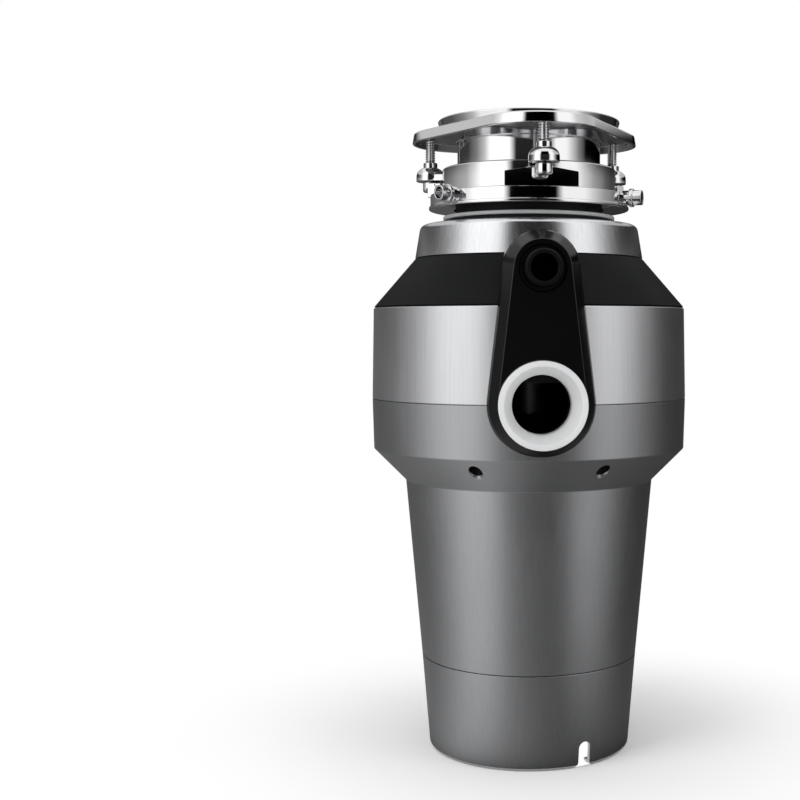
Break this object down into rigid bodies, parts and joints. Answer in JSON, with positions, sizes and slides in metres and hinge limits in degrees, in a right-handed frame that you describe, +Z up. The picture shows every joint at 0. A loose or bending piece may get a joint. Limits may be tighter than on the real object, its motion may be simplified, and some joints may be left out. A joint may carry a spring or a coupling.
{
  "type": "garbage disposal",
  "caption": "Under-sink food waste grinder: tapered brushed shells, black outlet housing, ring mount for the sink, motor, turntable and grind ring inside.",
  "frame": {"origin": "on the shaft axis, in the plane that the base stands on", "axes": "+Z up along the shaft axis, -Y towards the outlet, +X to the right of the outlet as seen from the front"},
  "size_m": [0.188, 0.204, 0.3745],
  "materials": {
    "silver_shell": "brushed",
    "grey_shell": "brushed",
    "matte_black": "matte",
    "gloss_black": "gloss",
    "white_plastic": "satin",
    "polished_steel": "polished",
    "pale_ring": "satin",
    "black_rubber": "matte",
    "fibre": "matte",
    "black_plastic": "matte",
    "stainless": "brushed",
    "plain_steel": "satin",
    "cast_alloy": "satin",
    "laminations": "satin",
    "copper": "satin",
    "bronze": "satin",
    "foam": "matte",
    "red_plastic": "gloss",
    "pale_plastic": "matte"
  },
  "bodies": {
    "root": {"base_cap": "grey_shell", "lower_shell": "grey_shell", "upper_shell": "silver_shell", "shoulder_cone": "matte_black", "top_cap": "silver_shell", "neck_seal": "black_rubber", "neck_lip": "pale_ring", "discharge_housing": "gloss_black", "discharge_spigot": "white_plastic", "duct_gasket": "black_rubber", "inlet_nipple": "gloss_black", "knockout_plug": "black_plastic", "hopper": "black_plastic", "chamber_gasket": "black_rubber", "flange_screws": "plain_steel", "grind_ring": "stainless", "lower_chamber": "black_plastic", "shell_screws": "plain_steel", "adapter_screws": "plain_steel", "shaft_seal": "black_rubber", "upper_end_bell": "cast_alloy", "lower_end_bell": "cast_alloy", "upper_bushing": "bronze", "lower_bushing": "bronze", "stator_core": "laminations", "stator_windings": "copper", "through_bolts": "plain_steel", "motor_foam": "foam", "hopper_foam": "foam", "thrust_washer": "bronze", "splash_guard": "black_rubber", "sink_flange": "polished_steel", "flange_gasket": "fibre", "backup_flange": "polished_steel", "snap_ring": "plain_steel", "mounting_ring": "polished_steel", "mount_screws": "polished_steel", "cord_gland": "black_plastic", "base_screws": "plain_steel", "terminal_cover": "grey_shell", "terminal_cover_screw": "plain_steel", "terminal_block": "pale_plastic", "overload_protector": "black_plastic", "start_relay": "pale_plastic", "start_capacitor": "silver_shell"},
    "rotor": {"shaft": "plain_steel", "rotor_core": "laminations", "rotor_cage": "cast_alloy", "slinger": "black_rubber", "turntable": "stainless", "turntable_nut": "stainless", "impeller_pins": "stainless"},
    "impeller_a": {"impeller_a": "stainless"},
    "impeller_b": {"impeller_b": "stainless"},
    "locking_ring": {"locking_ring": "polished_steel"},
    "reset_button": {"reset_button": "red_plastic"}
  },
  "joints": [
    {"name": "rotor_spin", "type": "hinge", "parent": "root", "child": "rotor", "pos_m": [0, 0, 0.238], "axis": [0, 0, 1], "continuous": true},
    {"name": "impeller_a_swing", "type": "hinge", "parent": "rotor", "child": "impeller_a", "pos_m": [0.045, 0, 0.2413], "axis": [0, 0, 1], "continuous": true},
    {"name": "impeller_b_swing", "type": "hinge", "parent": "rotor", "child": "impeller_b", "pos_m": [-0.045, 0, 0.2413], "axis": [0, 0, 1], "continuous": true},
    {"name": "locking_ring_turn", "type": "hinge", "parent": "root", "child": "locking_ring", "pos_m": [0, 0, 0.322], "axis": [0, 0, 1], "range_deg": [0, 42]},
    {"name": "reset_button_push", "type": "slide", "parent": "root", "child": "reset_button", "axis": [0, 0, 1], "range_m": [0, 0.003], "stiffness_N_per_m": 300}
  ]
}
